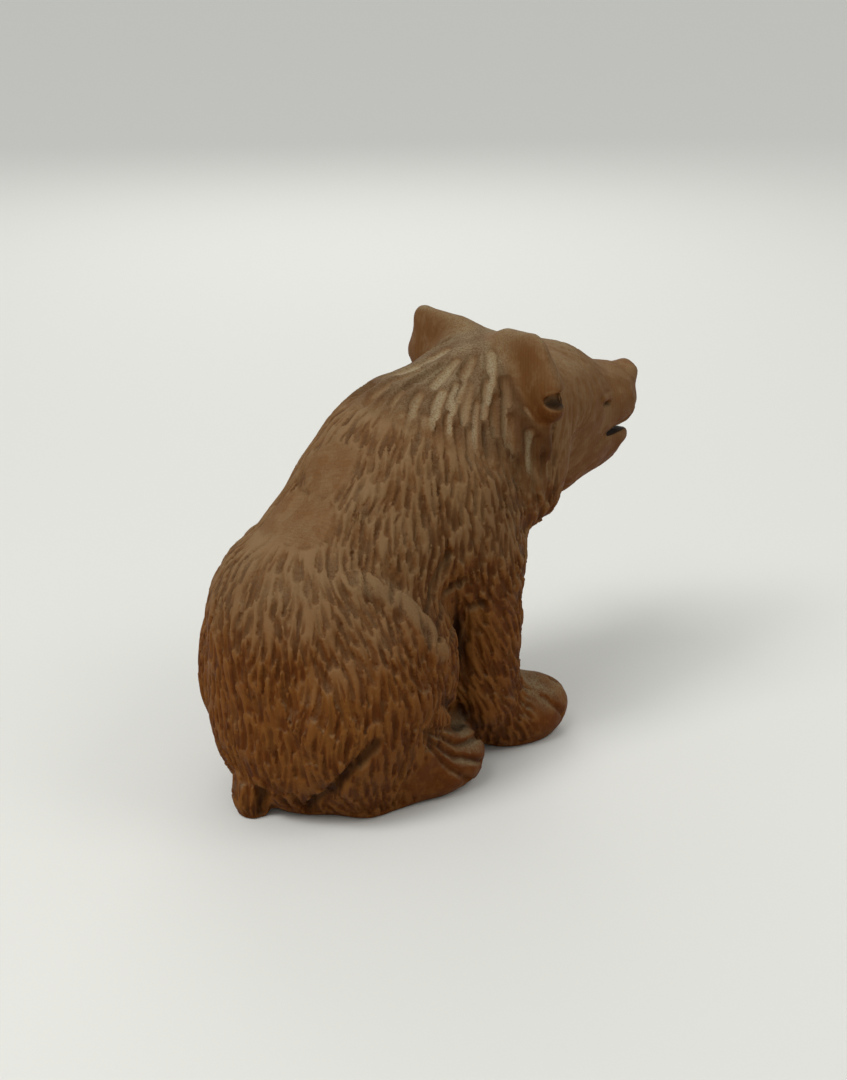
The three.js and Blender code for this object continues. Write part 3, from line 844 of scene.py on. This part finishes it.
def gouge_tree():
    tree = bpy.data.node_groups.new("gouge cuts", "GeometryNodeTree")
    face = tree.interface
    for name, kind in (("Geometry", "Geometry"), ("Mask", "String"), ("Width", "Float"), ("Length", "Float"),
                       ("Depth", "Float"), ("Starts", "String"), ("Sway", "Float"), ("Point", "Float"),
                       ("Entry", "Float"), ("Seed", "Int"), ("Material", "Material")):
        face.new_socket(name, in_out="INPUT", socket_type="NodeSocket" + kind)
    face.new_socket("Geometry", in_out="OUTPUT", socket_type="NodeSocketGeometry")
    knob = knobs(tree)
    lines = grow_lines(tree, knob)
    nearest = add(tree, "GeometryNodeProximity", {0: lines}, target_element="EDGES")
    foot = nearest.outputs["Position"]
    index = add(tree, "GeometryNodeSampleNearest", {"Geometry": lines}, domain="EDGE").outputs[0]

    def of_line(value, kind):
        return add(tree, "GeometryNodeSampleIndex", {"Geometry": lines, "Value": value, "Index": index},
                   data_type=kind, domain="EDGE").outputs[0]

    ident = of_line(read(tree, "cut_id", "INT"), "INT")
    joint = of_line(add(tree, "GeometryNodeInputPosition").outputs[0], "FLOAT_VECTOR")
    past = vector_calc(tree, "DOT_PRODUCT", vector_calc(tree, "SUBTRACT", foot, joint),
                       read(tree, "fur_way", "FLOAT_VECTOR"))
    travel = calc(tree, "ADD", of_line(read(tree, "travel"), "FLOAT"), past)
    widening = ramp(tree, travel, 0.0, times(tree, knob["Length"], FULL_WIDTH_AT), knob["Point"])
    half = times(tree, knob["Width"], 0.5, chance(tree, *WIDTH_RANGE, ident, 13), widening)
    across = calc(tree, "DIVIDE", nearest.outputs["Distance"], half)
    bowl = calc(tree, "SUBTRACT", 1.0, times(tree, across, across), clamp=True)
    entry = ramp(tree, travel, 0.0, times(tree, knob["Length"], knob["Entry"]), ENTRY_DEPTH)
    allowed = calc(tree, "MINIMUM", times(tree, read(tree, knob["Mask"]), MASK_GAIN), 1.0)
    cut = times(tree, bowl, entry, allowed)
    depth = times(tree, cut, knob["Depth"], chance(tree, *DEPTH_RANGE, ident, 14))
    sunk = vector_calc(tree, "SCALE", read(tree, "out_way", "FLOAT_VECTOR"), times(tree, depth, -1.0))
    inside = calc(tree, "GREATER_THAN", cut, TRACE)
    wood = add(tree, "GeometryNodeSetPosition", {"Geometry": knob["Geometry"], "Offset": sunk}).outputs[0]
    wood = store(tree, wood, "cut_depth", "FLOAT", calc(tree, "MAXIMUM", read(tree, "cut_depth"), cut))
    wood = store(tree, wood, "cut_travel", "FLOAT", travel, inside)
    wood = store(tree, wood, "cut_tone", "FLOAT", chance(tree, 0.0, 1.0, ident, 15), inside)
    whole = add(tree, "GeometryNodeRealizeInstances", {"Geometry": wood}).outputs[0]
    whole = add(tree, "GeometryNodeSetMaterial", {"Geometry": whole, "Material": knob["Material"]}).outputs[0]
    add(tree, "NodeGroupOutput", {"Geometry": whole})
    return tree


def run_cuts(piece, tree, name, **values):
    """Adds the tree to a piece, each knob set by its socket's identifier."""
    modifier = piece.modifiers.new(name, "NODES")
    modifier.node_group = tree
    for socket in tree.interface.items_tree:
        if socket.in_out == "INPUT" and socket.name in values:
            modifier[socket.identifier] = values[socket.name]


def to_plain_mesh(piece):
    """Replaces the piece's mesh with the result of its modifiers, and removes them."""
    depsgraph = bpy.context.evaluated_depsgraph_get()
    done = bpy.data.meshes.new_from_object(piece.evaluated_get(depsgraph), preserve_all_data_layers=True,
                                           depsgraph=depsgraph)
    piece.modifiers.clear()
    piece.data = done
    return done


cuts = gouge_tree()
print("gouge tree has", len(cuts.nodes), "nodes")

# %% [markdown]
# ## The wood
# The wood is softwood under a brown stain. Three node groups describe it: the
# long grain and the rings of the log, the dust that settles on what faces up,
# and the small cross marks that a gouge leaves in the broad cuts. The material
# lays the stain over them, redder low down, and paints shade into the hollows,
# the narrow marks, the low parts and what faces down.

# %% Shader groups
def group(name, inputs, outputs):
    tree = bpy.data.node_groups.new(name, "ShaderNodeTree")
    for label, kind, value in inputs:
        socket = tree.interface.new_socket(label, in_out="INPUT", socket_type="NodeSocket" + kind)
        socket.default_value = value
    for label, kind in outputs:
        tree.interface.new_socket(label, in_out="OUTPUT", socket_type="NodeSocket" + kind)
    return tree, knobs(tree)


def use_group(tree, name):
    return add(tree, "ShaderNodeGroup", node_tree=bpy.data.node_groups[name])


def noise(tree, vector, scale, detail=3.0, roughness=0.55):
    return add(tree, "ShaderNodeTexNoise",
               {"Vector": vector, "Scale": scale, "Detail": detail, "Roughness": roughness}).outputs["Fac"]


def mix(tree, factor, a, b):
    return add(tree, "ShaderNodeMix", {0: factor, 6: a, 7: b}, data_type="RGBA").outputs[2]


def objects_place(tree):
    return add(tree, "ShaderNodeTexCoord").outputs["Object"]


def facing_up(tree):
    normal = add(tree, "ShaderNodeNewGeometry").outputs["Normal"]
    return add(tree, "ShaderNodeSeparateXYZ", {0: normal}).outputs["Z"]


def fact(tree, name):
    return add(tree, "ShaderNodeAttribute", attribute_name=name).outputs["Fac"]


LOG_HEART = (0.03, 0.05, 0.0)


def grain_group():
    """Streaks along the log and the rings round its heart."""
    tree, knob = group("log grain", (("Streak Size", "Float", 900.0), ("Ring Gap", "Float", 0.0032)),
                       (("Streaks", "Float"), ("Rings", "Float"), ("Height", "Float")))
    where = objects_place(tree)
    long_way = add(tree, "ShaderNodeMapping", {"Vector": where, "Scale": (1, 1, 0.05)}).outputs[0]
    streaks = noise(tree, long_way, knob["Streak Size"], 4, 0.65)
    slow_way = add(tree, "ShaderNodeMapping", {"Vector": where, "Scale": (1, 1, 0.3)}).outputs[0]
    bend = noise(tree, slow_way, 9.0, 2)
    from_heart = vector_calc(tree, "SUBTRACT", where, LOG_HEART)
    flat = vector_calc(tree, "MULTIPLY", from_heart, (1, 1, 0.04))
    radius = calc(tree, "ADD", vector_calc(tree, "LENGTH", flat), times(tree, bend, 0.03))
    ring = calc(tree, "FRACT", calc(tree, "DIVIDE", radius, knob["Ring Gap"]))
    late = calc(tree, "POWER", ring, 3.0)
    height = calc(tree, "ADD", times(tree, streaks, 0.6), times(tree, late, 0.4))
    add(tree, "NodeGroupOutput", {"Streaks": streaks, "Rings": late, "Height": height})


def dust_group():
    """How much dust lies at a point: on what faces up, thicker in patches."""
    tree, knob = group("dust", (("Start", "Float", 0.1), ("Full", "Float", 0.95), ("Patches", "Float", 30.0)),
                       (("Mask", "Float"),))
    level = add(tree, "ShaderNodeMapRange", {"Value": facing_up(tree), "From Min": knob["Start"],
                                             "From Max": knob["Full"]}).outputs["Result"]
    patch = ramp(tree, noise(tree, objects_place(tree), knob["Patches"], 4, 0.6), 0.3, 0.65, 0.35, 1.0)
    add(tree, "NodeGroupOutput", {"Mask": calc(tree, "MULTIPLY", level, patch, clamp=True)})


def tool_group():
    """Cross marks along a cut, from the travel the cuts stored on the mesh."""
    tree, knob = group("tool marks", (("Pitch", "Float", 0.0036),), (("Height", "Float"),))
    wobble = times(tree, noise(tree, objects_place(tree), 160.0, 2), 5.0)
    turn = times(tree, calc(tree, "DIVIDE", fact(tree, "cut_travel"), knob["Pitch"]), 2 * math.pi)
    wave = calc(tree, "SINE", calc(tree, "ADD", turn, wobble))
    patchy = ramp(tree, noise(tree, objects_place(tree), 16.0, 2), 0.42, 0.60)
    deep = ramp(tree, fact(tree, "cut_depth"), 0.6, 0.9)
    strength = times(tree, deep, patchy, fact(tree, "broad"))
    add(tree, "NodeGroupOutput", {"Height": times(tree, wave, strength)})


grain_group()
dust_group()
tool_group()
print("shader groups:", [g.name for g in bpy.data.node_groups if g.type == "SHADER"])

# %% Stained wood
STAIN = (0.125, 0.053, 0.016, 1)
# redder stain, darkened as painted shade, for the low parts and what faces down
STAIN_RED_SHADED = (0.098, 0.026, 0.0035, 1)
STAIN_DEEP = (0.034, 0.010, 0.002, 1)
STAIN_PALE = (0.180, 0.105, 0.048, 1)
STAIN_WARM = (0.185, 0.074, 0.016, 1)
DUST = (0.205, 0.160, 0.092, 1)
DUST_THICK = (0.255, 0.208, 0.128, 1)
# near black, painted into hollows and narrow marks as shade
PAINTED_SHADE = (0.012, 0.004, 0.001, 1)


def wood_material():
    material = bpy.data.materials.new("carved_wood")
    material.use_nodes = True
    tree = material.node_tree
    shader = tree.nodes["Principled BSDF"]
    where = objects_place(tree)
    height = add(tree, "ShaderNodeSeparateXYZ", {0: where}).outputs["Z"]
    grain = use_group(tree, "log grain")
    dusty = use_group(tree, "dust")
    marks = use_group(tree, "tool marks")
    depth = fact(tree, "cut_depth")
    broad_cuts = fact(tree, "broad")
    speck = noise(tree, where, 620.0, 3, 0.7)
    # the stain is redder low down and on what faces down, and darker there as painted shade; it is worn where
    # it is rubbed
    patches = times(tree, noise(tree, where, 11.0, 3), 0.5)
    low_red_and_shade = calc(tree, "ADD", ramp(tree, height, 0.30, 0.06), patches)
    low_red_and_shade = calc(tree, "ADD", low_red_and_shade, ramp(tree, facing_up(tree), 0.35, -0.6, -0.15, 0.55))
    redness_and_shade = ramp(tree, low_red_and_shade, 0.25, 1.05)
    colour = mix(tree, redness_and_shade, STAIN, STAIN_RED_SHADED)
    worn = mix(tree, redness_and_shade, STAIN_PALE, STAIN_WARM)
    # it differs a little from cut to cut, along the grain and from patch to patch
    colour = mix(tree, ramp(tree, fact(tree, "cut_tone"), 0.45, 1.0, 0.0, 0.45), colour, worn)
    colour = mix(tree, ramp(tree, grain.outputs["Streaks"], 0.42, 0.68, 0.0, 0.12), colour, worn)
    colour = mix(tree, ramp(tree, noise(tree, where, 85.0, 4, 0.65), 0.46, 0.68, 0.0, 0.45), colour, worn)
    colour = mix(tree, times(tree, grain.outputs["Rings"], 0.18), colour, STAIN_DEEP)
    # it wears off the ridges and gathers at the bottoms of the fine cuts
    ridge = times(tree, ramp(tree, depth, 0.55, 0.10), fact(tree, "fine"),
                  ramp(tree, low_red_and_shade, 1.2, 0.3, 0.6, 0.8))
    colour = mix(tree, ridge, colour, worn)
    furred = ramp(tree, fact(tree, "fine"), 0.2, 0.6, 0.0, 0.6)
    colour = mix(tree, times(tree, ramp(tree, depth, 0.35, 0.95), furred), colour, STAIN_DEEP)
    # in the broad cuts it gathers on the sides
    sides = times(tree, broad_cuts, ramp(tree, depth, 0.62, 0.30, 0.0, 0.55))
    colour = mix(tree, sides, colour, STAIN_DEEP)
    # dust on what faces up, most on the paws and the crown, and on raised edges
    top = times(tree, dusty.outputs["Mask"], ramp(tree, height, 0.07, 0.16, 1.0, 0.34))
    crown = times(tree, dusty.outputs["Mask"], ramp(tree, height, 0.31, 0.385))
    top = calc(tree, "MAXIMUM", top, crown)
    top = calc(tree, "MAXIMUM", top, ramp(tree, fact(tree, "raised"), 0.3, 3.0, 0.0, 0.30))
    dust_amount = times(tree, top, ramp(tree, speck, 0.40, 0.55, 0.35, 1.0))
    colour = mix(tree, dust_amount, colour, DUST)
    # and along the bottoms of the broad cuts
    in_cut = times(tree, broad_cuts, ramp(tree, depth, 0.45, 0.85, 0.0, 0.75),
                   ramp(tree, speck, 0.42, 0.52, 0.3, 1.0))
    colour = mix(tree, in_cut, colour, DUST_THICK)
    # painted shade: hollows and narrow marks are darkest
    shade = calc(tree, "MAXIMUM", ramp(tree, fact(tree, "hollow"), 0.40, 1.0, 0.0, 0.85),
                 ramp(tree, fact(tree, "mark"), 1.5, 5.5, 0.0, 0.65))
    colour = mix(tree, shade, colour, PAINTED_SHADE)
    tree.links.new(colour, shader.inputs["Base Color"])
    rough = calc(tree, "ADD", ramp(tree, grain.outputs["Streaks"], 0.3, 0.7, 0.48, 0.64),
                 times(tree, dust_amount, 0.3), clamp=True)
    tree.links.new(rough, shader.inputs["Roughness"])
    shader.inputs["Specular IOR Level"].default_value = 0.05
    normal = None
    for strength, distance, relief in ((0.2, 0.0006, grain.outputs["Height"]), (0.35, 0.0005, speck),
                                       (0.25, 0.0005, marks.outputs["Height"])):
        bump = add(tree, "ShaderNodeBump", {"Strength": strength, "Distance": distance, "Height": relief})
        if normal is not None:
            tree.links.new(normal, bump.inputs["Normal"])
        normal = bump.outputs[0]
    tree.links.new(normal, shader.inputs["Normal"])
    return material


wood = wood_material()
print("wood has", len(wood.node_tree.nodes), "nodes")

# %% [markdown]
# ## Carve
# The smooth places get flat cuts and the fur gets fine and hair-fine ones, then
# the broad cuts go over them. The dense skin is thinned afterwards: flat places
# give up their triangles and the ridges keep theirs.

# %% Carve the fur
FACES_KEPT = 190000
OPEN_REACH = 14.0
KNOBS = ("Mask", "Width", "Length", "Depth", "Sway", "Point", "Entry", "Seed")
CUTS = (
    # kind, then the knobs in that order, sizes in metres
    ("flat", "smooth", 0.019, 0.036, 0.0008, 0.5, 0.8, 0.3, 2),
    ("fine", "fine", 0.0088, 0.036, 0.0024, 0.42, 0.32, 0.5, 4),
    ("hair", "fine", 0.0042, 0.022, 0.0012, 0.42, 0.4, 0.4, 6),
    ("broad", "broad", 0.0150, 0.060, 0.0044, 0.10, 0.8, 0.12, 9),
)
for name in ("cut_depth", "cut_travel", "cut_tone"):
    set_attribute(mesh, name, "FLOAT", np.zeros(len(points)))
# how enclosed each point is, so the material can paint shade into the hollows
hollow = np.clip(1 - sample(bear, (points + outward * OPEN_REACH).astype(np.float32)) / OPEN_REACH, 0, 1)
for name, amount in (("hollow", hollow), ("mark", mark_shade), ("raised", raised)):
    set_attribute(mesh, name, "FLOAT", amount)
for kind, *values in CUTS:
    run_cuts(carved, cuts, kind + " cuts", Starts=kind + "_start", Material=wood, **dict(zip(KNOBS, values)))
dense = to_plain_mesh(carved)
thinner = carved.modifiers.new("thin", "DECIMATE")
thinner.ratio = FACES_KEPT / sum(len(f.vertices) - 2 for f in dense.polygons)
thinner.use_collapse_triangulate = True
finished = to_plain_mesh(carved)
finished.shade_smooth()
print("bear:", len(finished.polygons), "faces,", len(finished.vertices), "points")

# %% Hand over
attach(carved, "root")
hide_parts("bear")
